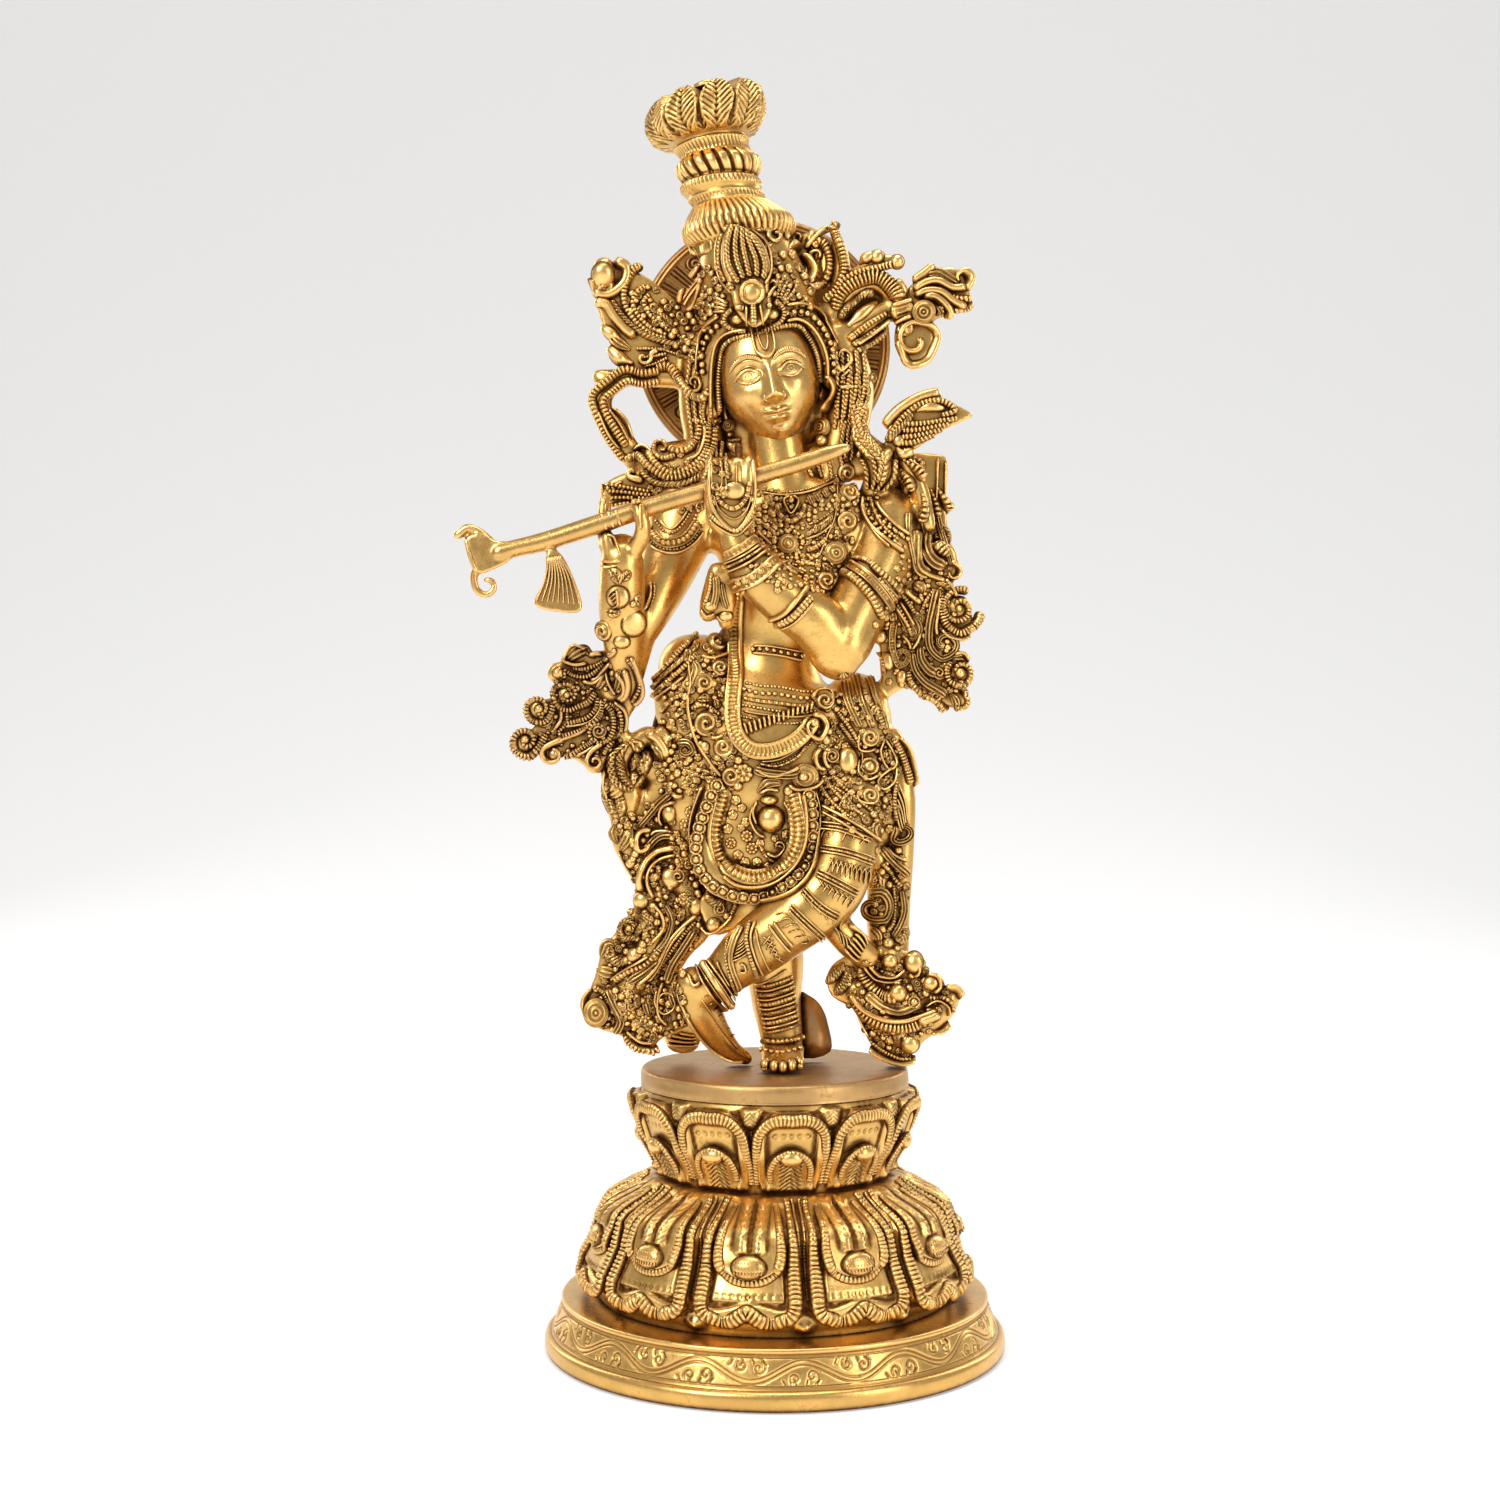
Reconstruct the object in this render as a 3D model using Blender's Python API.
"""A cast brass Krishna playing the flute, on a lotus base with a halo disc: four closed solids, in metres, +Z up."""

import bmesh
import bpy
import numpy as np
from mathutils.geometry import tessellate_polygon

# Base, from the ground up
PLINTH_RADIUS = 0.1106
PLINTH_HEIGHT = 0.0092
PLINTH_ROUNDING = 0.0012
BAND_HEIGHT = 0.0145
BAND_FOOT_RADIUS = 0.1074
BAND_TOP_RADIUS = 0.1016
BAND_LIP = 0.0022
LOWER_LOTUS_HEIGHT = 0.0568
LOWER_LOTUS_RADIUS = 0.0892
LOWER_PETALS = 11
LOWER_PETAL_TURN = -8.2
LOWER_PETAL_RISE = 0.0056
LOWER_TONGUE_RISE = 0.0036
WAIST_RADIUS = 0.0600
UPPER_LOTUS_HEIGHT = 0.0432
UPPER_LOTUS_RADIUS = 0.0662
UPPER_PETALS = 11
UPPER_PETAL_TURN = 6.2
UPPER_PETAL_RISE = 0.0048
UPPER_HOOD_RISE = 0.0030
PLATFORM_RADIUS = 0.0646
PLATFORM_RIM_HEIGHT = 0.0082
PLATFORM_ROUNDING = 0.0008

# Figure, flute and halo
FIGURE_HEIGHT = 0.4760
JOINT_GAP = 0.0003
FLUTE_FIT = 0.0006
FLUTE_RADIUS = 0.0043
FLUTE_TIP_RADIUS = 0.0022
HALO_RADIUS = 0.0632
HALO_THICKNESS = 0.0030
HALO_BACKSET = 0.0245
HALO_SIDES = 48
FLOOR_CUTTER_SIDES = 32

# Fineness of the faceted solids
BASE_COLUMNS_PER_PETAL = 7
FIGURE_VOXEL = 0.0021
FLUTE_VOXEL = 0.0011
FIGURE_TRIANGLES = 4800
FLUTE_TRIANGLES = 520

PLATFORM_TOP = (
    PLINTH_HEIGHT + BAND_HEIGHT + BAND_LIP + LOWER_LOTUS_HEIGHT + UPPER_LOTUS_HEIGHT + PLATFORM_RIM_HEIGHT
)

# The figure's pose is drawn on a front sheet of squares, SHEET_ROWS of them to its height. The sheet is drawn in
# perspective for an eye VIEW_SQUARES away: a point d squares behind the axis plane is drawn smaller.
SHEET_ROWS = 983.4
VIEW_SQUARES = 2083.0
EYE_COLUMN = 750.0
EYE_ROW = 750.0
AXIS_COLUMN = 774.5
EYE_OVER_PLATFORM = 315.0
SQUARE = FIGURE_HEIGHT / SHEET_ROWS
HALO_COLUMN = 763.0
HALO_ROW = 345.0


def sheet(column, row, depth):
    """Points in space for columns, rows and depths of the front sheet, depth counted away from the viewer."""
    column, row, depth = np.broadcast_arrays(
        np.asarray(column, float), np.asarray(row, float), np.asarray(depth, float)
    )
    spread = 1.0 + depth / VIEW_SQUARES
    x = ((column - EYE_COLUMN) * spread - (AXIS_COLUMN - EYE_COLUMN)) * SQUARE
    z = PLATFORM_TOP + (EYE_OVER_PLATFORM - (row - EYE_ROW) * spread) * SQUARE
    return np.stack([x, depth * SQUARE, z], axis=-1)


def smooth(rows, steps, closed=False):
    """A Catmull-Rom curve through rows of numbers, with `steps` samples between neighbours."""
    rows = np.asarray(rows, float)
    count = len(rows)
    if closed:
        knots = np.arange(count)
        before, after, beyond = (rows[(knots + k) % count] for k in (-1, 1, 2))
        here = rows
    else:
        padded = np.vstack([2 * rows[0] - rows[1], rows, 2 * rows[-1] - rows[-2]])
        before, here, after, beyond = padded[:-3], padded[1:-2], padded[2:-1], padded[3:]
    t = (np.arange(steps) / steps)[None, :, None]
    p0, p1, p2, p3 = (p[:, None, :] for p in (before, here, after, beyond))
    curve = 0.5 * (
        2 * p1 + (p2 - p0) * t + (2 * p0 - 5 * p1 + 4 * p2 - p3) * t**2 + (3 * p1 - p0 - 3 * p2 + p3) * t**3
    )
    curve = curve.reshape(-1, rows.shape[1])
    return curve if closed else np.vstack([curve, rows[-1]])


def grid_shell(rings):
    """A closed shell from an array of rings, each closed on itself, with a fan over its first and last ring."""
    count, sides = rings.shape[:2]
    points = np.vstack([rings.reshape(-1, 3), rings[0].mean(axis=0), rings[-1].mean(axis=0)])
    i, j = np.meshgrid(np.arange(count - 1), np.arange(sides), indexing="ij")
    k = (j + 1) % sides
    quads = np.stack([i * sides + j, i * sides + k, (i + 1) * sides + k, (i + 1) * sides + j], axis=-1)
    j = np.arange(sides)
    k = (j + 1) % sides
    first = np.stack([k, j, np.full(sides, count * sides)], axis=-1)
    final = (count - 1) * sides
    last = np.stack([j + final, k + final, np.full(sides, count * sides + 1)], axis=-1)
    return points, quads.reshape(-1, 4).tolist() + first.tolist() + last.tolist()


def tube(path, sides=10, steps=4):
    """A bar along a smooth path of (column, row, depth, half width[, half depth]) in squares, with rounded ends."""
    rows = [tuple(p) + (p[3],) * (5 - len(p)) for p in path]
    rows = smooth(rows, steps)
    centre = sheet(rows[:, 0], rows[:, 1], rows[:, 2])
    along = np.gradient(centre, axis=0)
    along /= np.linalg.norm(along, axis=1)[:, None]
    across = np.cross(along, [0.0, 1.0, 0.0])
    across /= np.maximum(np.linalg.norm(across, axis=1), 1e-6)[:, None]
    ahead = np.cross(across, along)
    width = np.maximum(rows[:, 3], 0.5) * SQUARE
    depth = np.maximum(rows[:, 4], 0.5) * SQUARE
    cap = np.minimum(width, depth)
    stations = np.concatenate([[0, 0], np.arange(len(rows)), [-1, -1]])
    shift = np.zeros(len(stations))
    shrink = np.ones(len(stations))
    shift[[0, 1, -2, -1]] = [-0.9, -0.6, 0.6, 0.9]
    shrink[[0, 1, -2, -1]] = [0.45, 0.8, 0.8, 0.45]
    centre = centre[stations] + along[stations] * (shift * cap[stations])[:, None]
    angle = 2 * np.pi * np.arange(sides) / sides
    wide = across[stations][:, None] * (np.cos(angle)[None, :, None] * (width[stations] * shrink)[:, None, None])
    deep = ahead[stations][:, None] * (np.sin(angle)[None, :, None] * (depth[stations] * shrink)[:, None, None])
    return grid_shell(centre[:, None] + wide + deep)


def blob(column, row, depth, wide, tall, deep, lean=0.0, sides=14):
    """An ellipsoid of three half sizes in squares, leaned by degrees in the sheet's plane."""
    rise = np.radians(np.linspace(-80, 80, sides // 2 + 1))[:, None]
    turn = (2 * np.pi * np.arange(sides) / sides)[None, :]
    x = wide * np.cos(rise) * np.cos(turn)
    y = deep * np.cos(rise) * np.sin(turn)
    z = tall * np.sin(rise) * np.ones_like(turn)
    c, s = np.cos(np.radians(lean)), np.sin(np.radians(lean))
    place = np.stack([x * c - z * s, y, x * s + z * c], axis=-1) * SQUARE
    return grid_shell(sheet(column, row, depth) + place)


def plate(outline, front, back, steps=3):
    """A slab cut to a smooth outline of (column, row), between two depths."""
    rows = smooth(outline, steps, closed=True)
    loops = [sheet(rows[:, 0], rows[:, 1], d) for d in (front, back)]
    count = len(rows)
    triangles = [list(t) for t in tessellate_polygon([loops[0].tolist()])]
    i = np.arange(count)
    j = (i + 1) % count
    walls = np.stack([i, j, j + count, i + count], axis=-1).tolist()
    lids = triangles + [[k + count for k in t[::-1]] for t in triangles]
    return np.vstack(loops), walls + lids


def volute(column, row, depth, radius, bar, start=0.0, turns=1.4, hand=1):
    """A spiral bar that winds in to its eye, from `radius` at angle `start` in degrees."""
    t = np.linspace(0, 1, 9)
    angle = np.radians(start) + hand * 2 * np.pi * turns * t
    reach = radius * (1 - 0.85 * t)
    path = [
        (column + r * np.cos(a), row - r * np.sin(a), depth - 2 * k, bar * (1 - 0.25 * k))
        for r, a, k in zip(reach, angle, t)
    ]
    return tube(path, sides=8, steps=2)


def fan(first, second, count, thick, depth, rise=6.0):
    """Ridges laid side by side from one curve of (column, row) to another, arched towards the viewer."""
    starts = smooth(first, 8)[np.linspace(0, 8 * (len(first) - 1), count).astype(int)]
    ends = smooth(second, 8)[np.linspace(0, 8 * (len(second) - 1), count).astype(int)]
    middles = 0.5 * (starts + ends)
    return [
        tube([(*a, depth, thick), (*m, depth - rise, thick * 1.15), (*b, depth, thick)], sides=8)
        for a, m, b in zip(starts, middles, ends)
    ]


def bosses(places, depth, radius):
    """Round bosses of one radius at (column, row) places."""
    return [blob(c, r, depth, radius, radius, radius * 0.8, sides=10) for c, r in places]


def crown_shapes():
    """The tall crown: a turned stack of rings leaning with the head, its front plaque and the bud on top."""
    stack = [
        (765, 340, 60), (757, 305, 58), (749, 270, 51), (743, 247, 46), (741, 240, 46), (739, 231, 57),
        (737, 222, 57), (733, 212, 42), (728, 201, 37), (723, 192, 42), (720, 184, 42), (719, 178, 35),
        (719, 172, 42), (718, 163, 41), (716, 156, 37), (712, 147, 42), (706, 134, 53), (705, 121, 56),
        (706, 109, 50), (706, 102, 40), (706, 98, 14),
    ]
    rows = [(column, row, -6.0, radius, min(radius, 52)) for column, row, radius in stack]
    plaque = [
        (734, 221), (722, 236), (720, 262), (728, 286), (736, 312), (755, 330), (772, 312), (770, 286), (771, 262),
        (760, 236),
    ]
    shapes = [tube(rows, sides=20, steps=2), plate(plaque, -68, -30)]
    shapes += bosses([(755, 293)], -68, 12)
    shapes += bosses([(746, 107), (664, 124), (694, 97), (720, 103)], -30, 13)
    return shapes


def head_shapes():
    """The head under the crown, with brow band, ears, earrings, neck and hair."""
    brow = [(704, 362, -22), (712, 345, -42), (735, 330, -58), (765, 322, -66), (800, 320, -60), (818, 335, -46)]
    return [
        blob(771, 386, -14, 50, 60, 48, lean=11),
        blob(768, 405, -22, 40, 36, 38, lean=11),
        blob(764, 345, -2, 60, 52, 46, lean=13),
        blob(768, 392, -60, 7, 13, 9, lean=11),
        tube([(776, 435, -4, 27), (782, 470, -4, 28), (786, 500, -2, 36)], sides=12),
        tube([(*p, 8) for p in brow] + [(828, 356, -30, 8)], sides=8),
        blob(722, 398, -8, 8, 15, 8),
        blob(824, 388, -8, 8, 15, 8),
        blob(731, 436, -10, 10, 14, 10),
        tube([(705, 350, 10, 20), (700, 400, 14, 22), (706, 445, 14, 20)], sides=10),
        tube([(838, 340, 8, 22), (850, 390, 8, 24), (842, 440, 8, 22), (832, 475, 5, 16)], sides=10),
        blob(768, 400, 22, 66, 66, 24),
    ]


def left_flare_shapes():
    """Feathered ribbons that spread from the crown to the viewer's left, their hanging loop and shoulder curls."""
    web = [
        (594, 262), (624, 266), (648, 276), (676, 300), (704, 320), (712, 368), (660, 374), (614, 364), (606, 338),
        (594, 304),
    ]
    shapes = [plate(web, 8, 24)]
    shapes += fan([(642, 270), (612, 290), (600, 318), (614, 356)], [(700, 322), (704, 372)], 6, 8, 8)
    shapes += [
        blob(604, 270, 10, 13, 14, 12),
        tube([(626, 376, 12, 11), (605, 391, 8, 12), (602, 411, 6, 12), (615, 428, 8, 12), (634, 458, 14, 13)]),
        tube([(600, 375, 12, 10), (640, 378, 14, 10), (690, 378, 16, 12)]),
        blob(684, 478, 12, 58, 40, 28),
        tube([(624, 474, 8, 10), (640, 448, 4, 10), (672, 440, 0, 10), (712, 430, 0, 9)]),
        tube([(630, 486, 6, 9), (656, 466, 0, 9), (706, 452, -6, 8)]),
        volute(661, 449, -2, 10, 5),
        volute(632, 472, 2, 10, 5),
        plate([(601, 484), (640, 470), (668, 500), (644, 510), (606, 506)], -8, 10),
    ]
    return shapes


def right_flare_shapes():
    """Scrolling ribbons from the crown to the viewer's right, their knot, end flare and drop."""
    flare = [(904, 290), (926, 273), (946, 264), (964, 270), (974, 298), (962, 312), (938, 322), (912, 320)]
    drop = [(893, 322), (892, 347), (903, 362), (914, 369), (928, 360), (937, 344), (936, 322), (914, 314)]
    return [
        tube([(818, 318, 6, 10), (838, 290, 0, 10), (842, 262, -2, 9), (838, 244, -4, 8)]),
        volute(843, 232, -4, 10, 5, start=180),
        tube([(790, 300, 10, 9), (800, 270, 8, 9), (806, 240, 8, 8), (824, 250, 6, 8), (826, 275, 4, 8)]),
        tube([(830, 300, 0, 9), (856, 276, -6, 9), (880, 262, -8, 8), (898, 263, -8, 8)]),
        tube([(832, 318, 4, 11), (848, 292, -2, 10), (872, 282, -4, 10), (890, 292, -4, 10), (900, 308, -4, 12)]),
        tube([(836, 344, 6, 14), (862, 326, 2, 14), (884, 312, 0, 12), (904, 310, 0, 13)]),
        plate([(838, 350), (834, 320), (856, 296), (880, 290), (884, 318), (864, 350)], 2, 16),
        plate(flare, -12, 12),
        plate(drop, -12, 8),
        blob(925, 312, -10, 12, 12, 9),
    ]


def bird_shapes():
    """The small bird on the viewer's right shoulder, its raised wing, and the cloth that hangs behind it."""
    wing = [(884, 442), (896, 410), (930, 393), (974, 412), (968, 420), (944, 432), (920, 448), (902, 458)]
    cloth = [
        (900, 452), (942, 453), (950, 464), (948, 505), (952, 540), (960, 571), (930, 588), (900, 560), (884, 520),
        (884, 470),
    ]
    return [
        tube([(863, 410, -10, 8), (860, 434, -14, 9), (874, 452, -18, 12), (880, 472, -18, 15), (872, 490, -14, 12)]),
        blob(860, 412, -14, 9, 9, 8),
        plate(wing, -24, -8),
        plate(cloth, 0, 16),
        tube([(906, 462, -14, 10), (920, 490, -16, 10), (928, 525, -12, 9)]),
        tube([(938, 470, -6, 8), (938, 520, -8, 8), (944, 566, -6, 8)]),
    ]


def torso_shapes():
    """Torso bent in three, shoulders and belted waist."""
    rows = [
        (784, 850, -5, 62, 44), (780, 790, -5, 96, 52), (774, 740, -5, 100, 52), (768, 700, -2, 92, 48),
        (770, 672, 0, 52, 40), (774, 640, 0, 46, 38), (784, 600, -4, 62, 42), (792, 560, -4, 78, 44),
        (790, 525, 0, 90, 42), (786, 500, 0, 64, 36), (783, 480, 0, 30, 28),
    ]
    return [
        tube(rows, sides=18),
        blob(700, 700, -4, 46, 66, 42),
        blob(692, 668, -8, 34, 34, 34),
        blob(854, 724, -4, 38, 52, 42),
        blob(858, 790, 0, 54, 72, 42),
        blob(700, 790, -4, 42, 60, 42),
        tube([(736, 640, -38, 8), (738, 700, -44, 9), (752, 742, -54, 9), (776, 752, -58, 9), (806, 730, -52, 9)]),
        tube([(752, 520, -40, 7), (790, 532, -46, 7), (834, 508, -38, 7)]),
        tube([(762, 490, -32, 7), (794, 496, -36, 7), (832, 480, -28, 7)]),
        blob(788, 546, -46, 14, 14, 10),
    ]


def arm_shapes():
    """Both bent arms, with bands, wrists and the hands that close on the flute."""
    fingers = [
        tube([(c, 500, -92, 7), (c, 476, -98, 7), (c + 1, 462, -92, 6), (c + 2, 466, -70, 5)], sides=8)
        for c in (711, 725, 740)
    ]
    grips = [
        tube([(614, row, -72, 7), (604, row - 2, -88, 7), (622, row - 6, -98, 7), (640, row - 4, -92, 6)], sides=8)
        for row in (512, 526, 540)
    ]
    return [
        tube([(886, 520, 4, 36, 34), (880, 560, -14, 33), (862, 600, -36, 30), (842, 642, -54, 30)], sides=12),
        blob(833, 646, -56, 27, 35, 27, lean=25),
        tube([(834, 644, -58, 27), (816, 622, -66, 28), (790, 604, -74, 27), (756, 572, -82, 26)], sides=12),
        tube([(756, 572, -82, 26), (740, 549, -84, 19), (735, 536, -84, 17)], sides=12),
        blob(730, 512, -88, 24, 28, 13),
        *fingers,
        tube([(882, 500, -20, 10), (896, 520, -18, 10), (898, 545, -12, 10)]),
        tube([(690, 505, 8, 40, 32), (670, 560, -8, 31), (652, 600, -24, 26), (636, 634, -34, 20)], sides=12),
        tube([(636, 634, -34, 20), (630, 672, -38, 15), (628, 702, -36, 9)], sides=10),
        tube([(622, 560, -72, 22), (622, 600, -62, 24), (623, 640, -50, 21), (629, 690, -38, 14)], sides=12),
        blob(624, 548, -74, 20, 18, 13),
        *grips,
        tube([(636, 552, -80, 7), (645, 535, -92, 7), (637, 508, -92, 6)], sides=8),
        tube([(649, 520, -22, 8), (673, 545, -30, 8), (702, 512, -28, 8)]),
        *bosses([(618, 598), (632, 626)], -84, 13),
        tube([(718, 572, -72, 10), (711, 598, -64, 10), (708, 624, -56, 8)]),
        tube([(726, 572, -72, 9), (727, 600, -62, 10), (726, 628, -48, 9)]),
    ]


def scarf_shapes():
    """The scarf's two upper ends: a ruffled fan from each elbow."""
    right = [
        (848, 564), (900, 545), (952, 542), (960, 570), (954, 594), (974, 610), (974, 630), (958, 645), (970, 668),
        (962, 690), (962, 711), (940, 707), (910, 690), (884, 698), (877, 668), (878, 648), (876, 622), (864, 594),
    ]
    left = [
        (612, 646), (590, 652), (572, 650), (554, 668), (558, 692), (534, 702), (532, 726), (516, 742), (524, 756),
        (560, 756), (584, 768), (602, 776), (616, 740), (630, 704), (630, 670),
    ]
    shapes = [plate(right, -20, 4), plate(left, -40, -20)]
    shapes += fan([(856, 566), (872, 598), (894, 642)], [(950, 548), (956, 580), (940, 632)], 5, 7, -20)
    shapes += fan([(596, 656), (560, 680), (540, 712), (526, 744)], [(614, 690), (610, 700)], 6, 7, -38)
    shapes += fan([(552, 752), (580, 762), (600, 768)], [(606, 700), (618, 706)], 3, 7, -38)
    shapes += [
        volute(958, 612, -22, 13, 6),
        volute(946, 650, -24, 11, 5),
        volute(958, 676, -20, 11, 5),
        volute(566, 694, -44, 12, 5),
        volute(540, 712, -42, 10, 5),
        volute(528, 742, -40, 11, 5),
        volute(572, 660, -42, 10, 5),
        volute(596, 762, -42, 10, 5),
        blob(900, 666, -18, 11, 11, 10),
        tube([(866, 664, -10, 10), (884, 680, -10, 10), (904, 676, -12, 10)]),
        tube([(630, 698, -36, 11), (622, 722, -34, 7), (626, 745, -30, 8)]),
    ]
    return shapes


def skirt_shapes():
    """Pleated cloth over the hips, the looped garlands and the side leaves."""
    shapes = []
    shapes += fan([(700, 640), (664, 668), (656, 704)], [(730, 730), (700, 760), (672, 752)], 6, 8, -36)
    shapes += fan([(846, 664), (876, 678), (888, 726)], [(812, 730), (840, 760), (884, 768)], 5, 8, -34)
    shapes += [
        tube([(822, 668, -52, 9), (822, 720, -52, 10), (826, 760, -50, 10), (800, 778, -56, 10)]),
        tube([(800, 778, -56, 10), (760, 784, -60, 10), (728, 772, -56, 10), (706, 722, -50, 10), (712, 650, -40, 9)]),
        tube(
            [
                (712, 790, -50, 11), (702, 840, -50, 12), (716, 872, -54, 12), (752, 888, -60, 12),
                (790, 876, -62, 12), (804, 840, -62, 12), (802, 796, -56, 11),
            ]
        ),
        blob(756, 832, -44, 42, 46, 16),
        blob(771, 818, -58, 13, 14, 10),
        blob(847, 761, -44, 11, 16, 11),
        *bosses([(869, 736), (870, 767), (870, 796)], -42, 10),
        tube([(892, 740, -14, 12), (904, 790, -12, 12), (902, 850, -8, 13), (898, 910, -6, 13), (896, 950, -10, 14)]),
        tube([(876, 850, -14, 11), (880, 900, -12, 14), (880, 930, -12, 14), (886, 958, -14, 14)]),
        tube([(672, 752, -20, 12), (650, 735, -24, 9), (636, 742, -26, 10)]),
        blob(650, 766, -18, 16, 13, 10),
        tube([(630, 742, -26, 9), (616, 766, -24, 15, 11), (630, 792, -22, 12, 10), (628, 812, -20, 10)]),
        tube([(672, 770, -14, 16), (656, 800, -12, 18, 14), (640, 828, -10, 14)]),
    ]
    return shapes


def leg_shapes():
    """Standing leg, the leg crossed before it with its wrapped shin, and both feet."""
    return [
        tube([(756, 830, -6, 48, 42), (764, 900, -2, 36), (774, 960, 2, 30), (776, 1000, 4, 25)], sides=12),
        tube([(776, 1000, 4, 25), (782, 1040, 6, 21), (783, 1066, 2, 22)], sides=12),
        blob(783, 1062, -26, 21, 13, 36),
        *[blob(c, 1068, -60, 6, 8, 12, sides=10) for c in (766, 777, 788, 798)],
        tube([(846, 800, -20, 40), (844, 850, -44, 33), (829, 888, -58, 34), (802, 913, -62, 33)], sides=12),
        tube([(802, 913, -62, 33), (752, 950, -56, 29), (722, 976, -48, 23), (704, 990, -40, 22)], sides=12),
        tube([(698, 962, -46, 7), (712, 984, -60, 7), (729, 1008, -44, 7)]),
        tube([(692, 982, -36, 18), (700, 1012, -22, 19, 14), (716, 1036, -8, 15, 11), (743, 1058, 4, 8)], sides=10),
        tube([(836, 926, -54, 15), (850, 942, -48, 15), (866, 956, -36, 13)]),
        plate([(698, 878), (742, 886), (748, 930), (730, 934), (713, 936), (698, 906), (706, 886)], -30, -8),
        tube([(812, 1000, 10, 14, 6), (814, 1050, 12, 15, 6)]),
        plate([(664, 1004), (698, 1004), (698, 1048), (668, 1048)], 12, 26),
    ]


def lower_scarf_shapes():
    """The scarf's two lower ends: ringed crescents on the viewer's right, feathered falls on the left."""
    right = [
        (838, 960), (825, 976), (830, 996), (856, 1012), (866, 1040), (886, 1061), (904, 1064), (924, 1044),
        (954, 1019), (962, 994), (938, 982), (918, 966), (906, 950), (868, 948),
    ]
    left = [
        (606, 800), (614, 840), (636, 880), (635, 908), (622, 928), (602, 950), (598, 970), (586, 1004),
        (594, 1027), (626, 1038), (648, 1054), (662, 1040), (696, 1022), (694, 1004), (676, 984), (690, 956),
        (711, 935), (696, 904), (690, 872), (690, 820), (676, 790), (640, 790),
    ]
    shapes = [plate(right, -30, -8), plate(left, -22, 2)]
    for reach in (22, 42, 62):
        arc = np.radians(np.linspace(200, 335, 6))
        path = [(886 + reach * np.cos(a), 960 - reach * np.sin(a), -34, 7) for a in arc]
        shapes.append(tube(path, sides=8))
    shapes += fan([(640, 900), (622, 935), (602, 960)], [(700, 914), (690, 950), (672, 985)], 5, 7, -22)
    shapes += fan([(604, 985), (592, 1010), (620, 1036)], [(680, 972), (684, 1000), (676, 1030)], 5, 7, -20)
    shapes += fan([(616, 808), (622, 850), (640, 880)], [(672, 796), (684, 840), (688, 870)], 5, 8, -22)
    shapes += [
        *bosses([(642, 899), (608, 988), (696, 907)], -30, 10),
        blob(594, 1007, -18, 12, 13, 10),
        blob(670, 876, -30, 12, 12, 10),
        volute(640, 930, -30, 11, 5),
        volute(640, 842, -28, 10, 5),
        blob(908, 1043, -28, 11, 11, 9),
        tube([(690, 800, -14, 20, 18), (680, 850, -14, 16, 14), (690, 900, -14, 12)]),
    ]
    return shapes


def garland_shapes():
    """The long garland from the shoulder, behind the elbow and across the hips."""
    places = [
        (845, 473, -34), (849, 497, -38), (847, 522, -40), (837, 550, -42), (826, 578, -46), (826, 706, -56),
        (818, 732, -58), (829, 757, -54), (806, 779, -60), (732, 777, -60), (722, 746, -56), (707, 722, -50),
        (704, 684, -46), (717, 660, -44), (684, 752, -46),
    ]
    strap = [(846, 462, -26, 8), (850, 500, -30, 8), (842, 540, -34, 8), (822, 582, -40, 8), (812, 600, -40, 8)]
    return [tube(strap, sides=8)] + [blob(c, r, d, 11, 11, 9, sides=10) for c, r, d in places]


# The flute's middle line from the pointed end to the funnel, as (column, row, depth) of the sheet
FLUTE_LINE = [
    (846, 448, -84), (800, 463, -83), (760, 475, -82), (702, 492, -81), (646, 508, -81), (602, 523, -82),
    (546, 541, -84), (506, 552, -86),
]


def flute_bar(extra):
    """The flute's pipe: pointed at one end and full from its second point on, thicker all round by `extra`."""
    full = (FLUTE_RADIUS + extra) / SQUARE
    tip = (FLUTE_TIP_RADIUS + extra) / SQUARE
    radii = [tip, full * 0.86] + [full] * (len(FLUTE_LINE) - 2)
    return tube([(*p, r) for p, r in zip(FLUTE_LINE, radii)], sides=12, steps=3)


def flute_shapes():
    """Pipe, split funnel with curled ends, and the tassel below it."""
    tassel = [(547, 552), (559, 552), (572, 574), (582, 609), (558, 609), (534, 604), (545, 578)]
    return [
        flute_bar(0.0),
        plate([(508, 543), (494, 542), (468, 540), (472, 556), (480, 571), (496, 568), (510, 562)], -93, -79, steps=2),
        tube([(488, 544, -86, 5), (474, 531, -86, 5), (458, 535, -86, 4.5)]),
        tube([(482, 566, -86, 6), (474, 578, -86, 4), (479, 592, -86, 3.5), (492, 592, -86, 3.5), (494, 582, -86, 3)]),
        plate(tassel, -90, -80, steps=2),
    ]


def add_material(piece, colour, roughness):
    """Gives a piece its own metal."""
    metal = bpy.data.materials.new(piece.name + "_brass")
    metal.use_nodes = True
    shader = metal.node_tree.nodes["Principled BSDF"]
    shader.inputs["Base Color"].default_value = (*colour, 1.0)
    shader.inputs["Metallic"].default_value = 1.0
    shader.inputs["Roughness"].default_value = roughness
    piece.data.materials.append(metal)


def new_object(name, mesh):
    """An object in the scene for a mesh."""
    piece = bpy.data.objects.new(name, mesh)
    bpy.context.scene.collection.objects.link(piece)
    return piece


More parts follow.
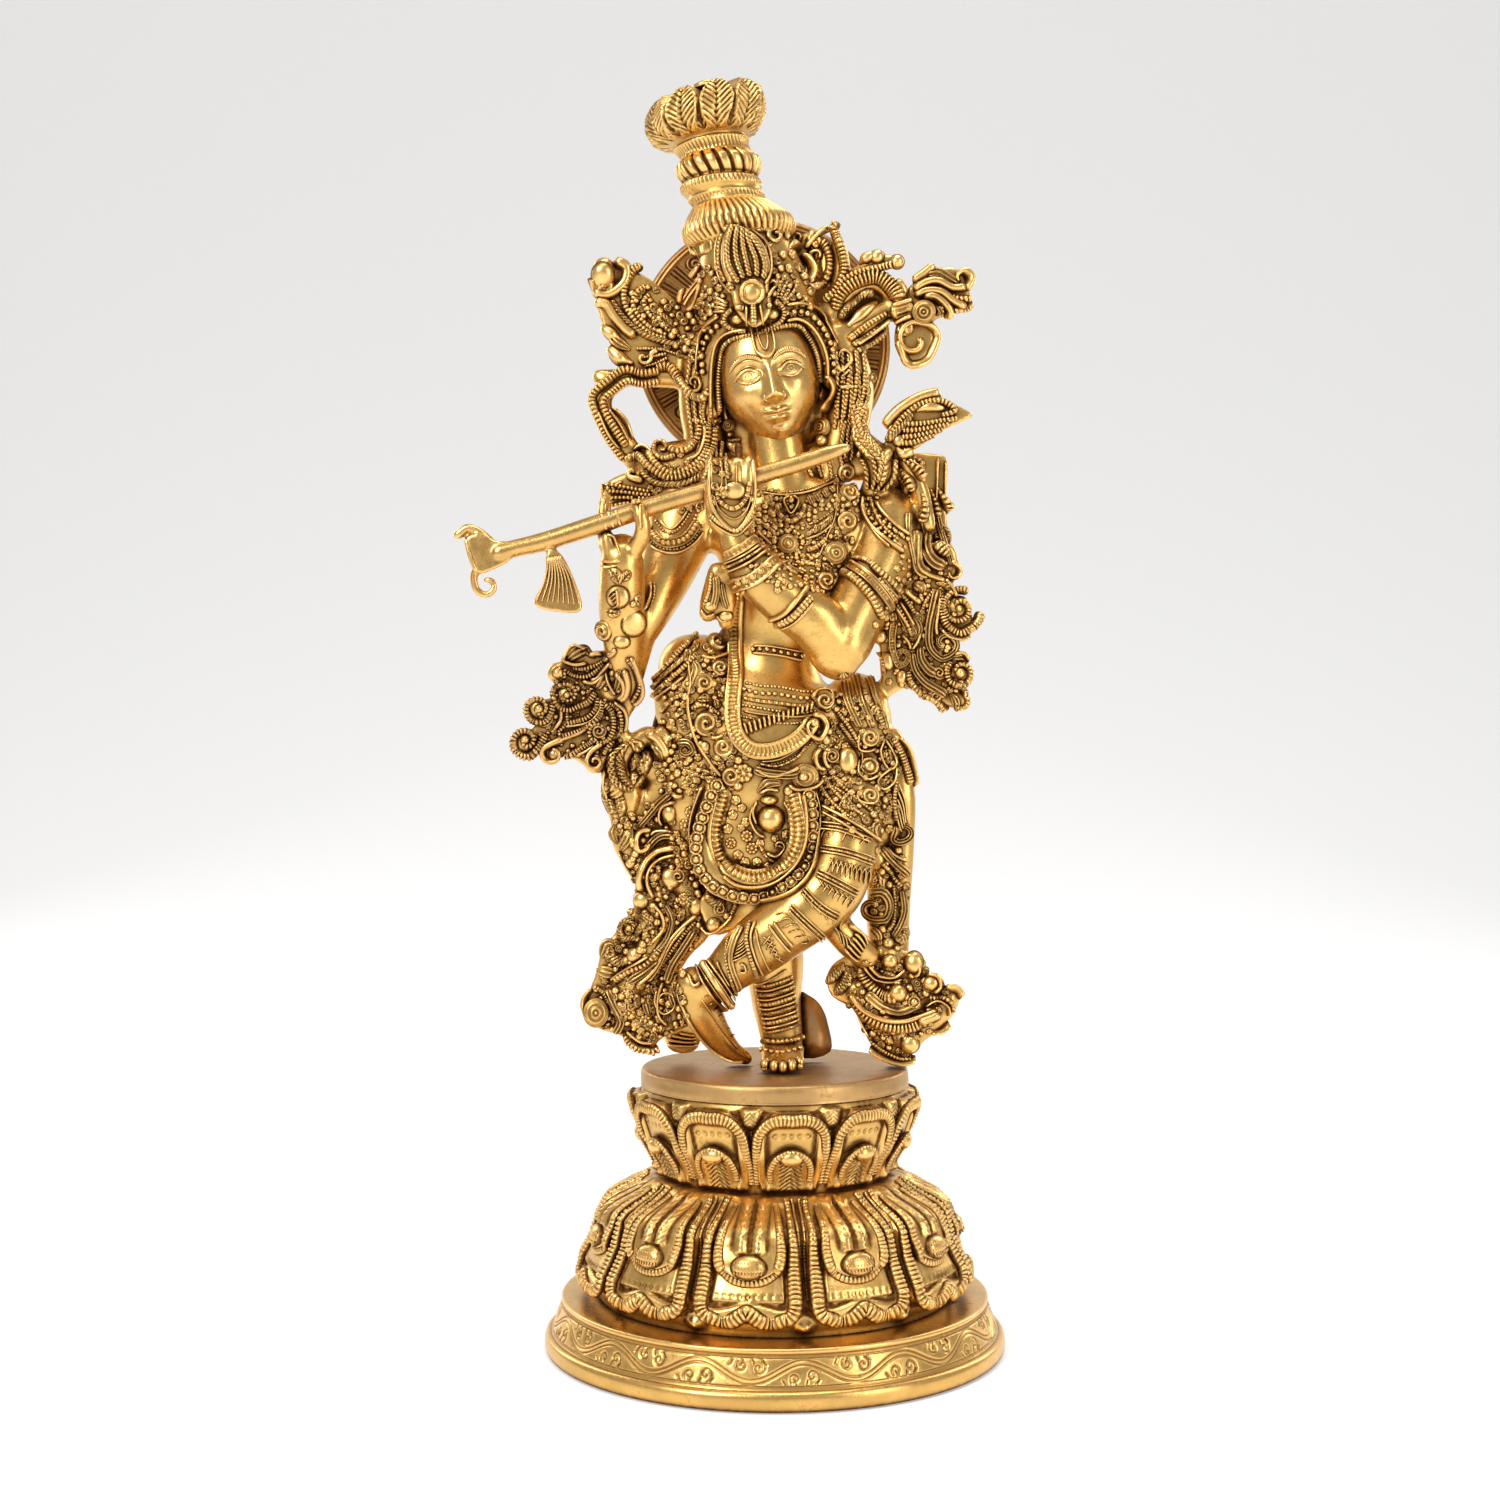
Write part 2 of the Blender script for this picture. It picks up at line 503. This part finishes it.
def mesh_of(name, shells):
    """One mesh that holds every shell of (points, faces), with its faces turned outwards."""
    points, faces, offset = [], [], 0
    for shell_points, shell_faces in shells:
        points.append(shell_points)
        faces += [[index + offset for index in face] for face in shell_faces]
        offset += len(shell_points)
    mesh = bpy.data.meshes.new(name)
    mesh.from_pydata(np.vstack(points).tolist(), [], faces)
    work = bmesh.new()
    work.from_mesh(mesh)
    bmesh.ops.recalc_face_normals(work, faces=work.faces)
    work.to_mesh(mesh)
    work.free()
    return mesh


def evaluated_mesh(piece):
    """The mesh of a piece with its modifiers applied."""
    graph = bpy.context.evaluated_depsgraph_get()
    graph.update()
    return bpy.data.meshes.new_from_object(piece.evaluated_get(graph), depsgraph=graph)


def main_shell(mesh):
    """Keeps the largest connected shell of a mesh, so that no sealed hollow stays inside the casting."""
    work = bmesh.new()
    work.from_mesh(mesh)
    work.verts.ensure_lookup_table()
    left = set(work.verts)
    shells = []
    while left:
        seed = left.pop()
        shell, edge = {seed}, [seed]
        while edge:
            vertex = edge.pop()
            for link in vertex.link_edges:
                other = link.other_vert(vertex)
                if other in left:
                    left.discard(other)
                    shell.add(other)
                    edge.append(other)
        shells.append(shell)
    keep = max(shells, key=len)
    bmesh.ops.delete(work, geom=[v for v in work.verts if v not in keep], context="VERTS")
    work.to_mesh(mesh)
    work.free()
    return mesh


def thinned(mesh, name, triangles):
    """An object that holds the mesh, thinned by a live modifier to about so many triangles."""
    piece = new_object(name, mesh)
    mesh.calc_loop_triangles()
    thin = piece.modifiers.new("thin", "DECIMATE")
    thin.ratio = min(1.0, triangles / len(mesh.loop_triangles))
    return piece


def fused(name, shells, voxel, triangles):
    """Overlapping shells melted into one closed skin of small squares, then thinned."""
    rough = new_object(name + "_rough", mesh_of(name + "_rough", shells))
    melt = rough.modifiers.new("melt", "REMESH")
    melt.mode = "VOXEL"
    melt.voxel_size = voxel
    melt.adaptivity = 0.0
    mesh = main_shell(evaluated_mesh(rough))
    bpy.data.objects.remove(rough)
    return thinned(mesh, name, triangles)


def cut_away(piece, name, shell):
    """Cuts a shell out of a piece and leaves the cutter in the scene as a hidden guide."""
    cutter = new_object(name, mesh_of(name, [shell]))
    cutter.hide_render = True
    cutter.display_type = "WIRE"
    cut = piece.modifiers.new(name, "BOOLEAN")
    cut.operation = "DIFFERENCE"
    cut.solver = "EXACT"
    cut.object = cutter


def swell(share):
    """A rise from 0 to 1 as the share goes from 0 to 1, flat at both ends."""
    share = np.clip(share, 0.0, 1.0)
    return share * share * (3 - 2 * share)


def petal_mask(across, along, sharp):
    """1 inside a petal, 0 outside: `across` runs -1..1 over its pitch, `along` from its tip at 0 to its root at 1."""
    half_width = 0.93 * np.clip(along / 0.30, 0.0, 1.0) ** 0.6
    return swell((half_width - np.abs(across)) / sharp)


def lotus_base():
    """The turned base: plinth, band, lower lotus hanging down, upper lotus standing up, platform rim."""
    band_foot = PLINTH_HEIGHT
    ledge = band_foot + BAND_HEIGHT + BAND_LIP
    waist = ledge + LOWER_LOTUS_HEIGHT
    rim_foot = waist + UPPER_LOTUS_HEIGHT
    lower = [
        (0.01, 0.955), (0.09, 0.99), (0.22, 0.985), (0.38, 0.93), (0.54, 0.88), (0.70, 0.90), (0.77, 0.87),
        (0.85, 0.77), (0.93, 0.68),
    ]
    upper = [(0.12, 0.84), (0.28, 0.88), (0.46, 0.92), (0.62, 0.97), (0.80, 1.01), (0.95, 1.01)]
    profile = [
        (0.0, PLINTH_RADIUS - PLINTH_ROUNDING), (PLINTH_ROUNDING, PLINTH_RADIUS),
        (PLINTH_HEIGHT - PLINTH_ROUNDING, PLINTH_RADIUS), (PLINTH_HEIGHT, PLINTH_RADIUS - PLINTH_ROUNDING),
        (band_foot + 0.0005, BAND_FOOT_RADIUS), (band_foot + BAND_HEIGHT, BAND_TOP_RADIUS),
        (band_foot + BAND_HEIGHT + BAND_LIP * 0.3, BAND_TOP_RADIUS + BAND_LIP * 0.4),
        (ledge, BAND_TOP_RADIUS + BAND_LIP * 0.3),
    ]
    profile += [(ledge + LOWER_LOTUS_HEIGHT * s, LOWER_LOTUS_RADIUS * r) for s, r in lower]
    profile += [(waist, WAIST_RADIUS)]
    profile += [(waist + UPPER_LOTUS_HEIGHT * s, UPPER_LOTUS_RADIUS * r) for s, r in upper]
    profile += [
        (rim_foot, PLATFORM_RADIUS),
        (PLATFORM_TOP - PLATFORM_ROUNDING, PLATFORM_RADIUS), (PLATFORM_TOP, PLATFORM_RADIUS - PLATFORM_ROUNDING),
    ]
    profile = np.array(profile)
    height = profile[:, 0][:, None]
    columns = LOWER_PETALS * BASE_COLUMNS_PER_PETAL
    first = np.radians(LOWER_PETAL_TURN) + np.pi / LOWER_PETALS
    angle = (first + 2 * np.pi * np.arange(columns) / columns)[None, :]

    def over_pitch(petals, turn):
        share = (angle - np.radians(turn)) * petals / (2 * np.pi)
        return 2 * (share - np.round(share))

    down = (height - ledge) / LOWER_LOTUS_HEIGHT
    across = over_pitch(LOWER_PETALS, LOWER_PETAL_TURN)
    inside = (down > 0.005) & (down < 1)
    rise = LOWER_PETAL_RISE * petal_mask(across, down + 0.05, 0.22) * (1 - 0.75 * swell((down - 0.7) / 0.3))
    rise += LOWER_TONGUE_RISE * swell((0.5 - np.abs(across)) / 0.2) * swell((down - 0.25) / 0.12) * (down < 0.9)
    relief = np.where(inside, rise, 0.0)
    up = (rim_foot - height) / UPPER_LOTUS_HEIGHT
    across = over_pitch(UPPER_PETALS, UPPER_PETAL_TURN)
    inside = (up > 0) & (up < 1)
    rise = UPPER_PETAL_RISE * petal_mask(across, up, 0.22) * (1 - 0.7 * swell((up - 0.7) / 0.3))
    rise += UPPER_HOOD_RISE * swell((0.5 - np.abs(across)) / 0.2) * swell((up - 0.38) / 0.14) * (up < 0.9)
    relief = relief + np.where(inside, rise, 0.0)
    radius = profile[:, 1][:, None] + relief
    rings = np.stack([radius * np.sin(angle), -radius * np.cos(angle), height + 0 * radius], axis=-1)
    piece = new_object("lotus_base", mesh_of("lotus_base", [grid_shell(rings)]))
    add_material(piece, (0.72, 0.48, 0.16), 0.34)


def flat_cylinder(radius, low, high, centre, sides):
    """A round slab standing on edge, its axis along Y between two depths."""
    angle = 2 * np.pi * np.arange(sides) / sides
    rings = [
        np.stack([centre[0] + radius * np.cos(angle), np.full(sides, y), centre[1] + radius * np.sin(angle)], axis=-1)
        for y in (low, high)
    ]
    return grid_shell(np.array(rings))


def figure():
    """The cast figure, cut flat under its feet, with the flute's channel and the halo's seat cut in it."""
    shells = (
        crown_shapes() + head_shapes() + left_flare_shapes() + right_flare_shapes() + bird_shapes() + torso_shapes()
        + arm_shapes() + scarf_shapes() + skirt_shapes() + leg_shapes() + lower_scarf_shapes() + garland_shapes()
    )
    piece = fused("figure", shells, FIGURE_VOXEL, FIGURE_TRIANGLES)
    angle = 2 * np.pi * np.arange(FLOOR_CUTTER_SIDES) / FLOOR_CUTTER_SIDES
    reach = PLATFORM_RADIUS * 2
    floor = np.array(
        [
            np.stack([reach * np.cos(angle), reach * np.sin(angle), np.full_like(angle, z)], axis=-1)
            for z in (0.0, PLATFORM_TOP + JOINT_GAP)
        ]
    )
    cut_away(piece, "platform_cutter", grid_shell(floor))
    cut_away(piece, "flute_cutter", flute_bar(FLUTE_FIT))
    cut_away(piece, "halo_cutter", halo_shell(JOINT_GAP))
    add_material(piece, (0.74, 0.50, 0.17), 0.30)


def halo_shell(extra):
    """The halo's round slab, thicker on every side by `extra`."""
    centre = sheet(HALO_COLUMN, HALO_ROW, HALO_BACKSET / SQUARE)
    low = HALO_BACKSET - extra
    high = HALO_BACKSET + HALO_THICKNESS + extra
    return flat_cylinder(HALO_RADIUS + extra, low, high, (centre[0], centre[2]), HALO_SIDES)


def main():
    for old in list(bpy.data.objects):
        bpy.data.objects.remove(old)
    lotus_base()
    figure()
    flute = fused("flute", flute_shapes(), FLUTE_VOXEL, FLUTE_TRIANGLES)
    add_material(flute, (0.82, 0.60, 0.26), 0.20)
    halo = new_object("halo_disc", mesh_of("halo_disc", [halo_shell(0.0)]))
    add_material(halo, (0.66, 0.44, 0.15), 0.36)
    for piece in bpy.data.objects:
        if not piece.hide_render:
            piece.data.shade_smooth()
            piece.data.set_sharp_from_angle(angle=np.radians(40))


main()
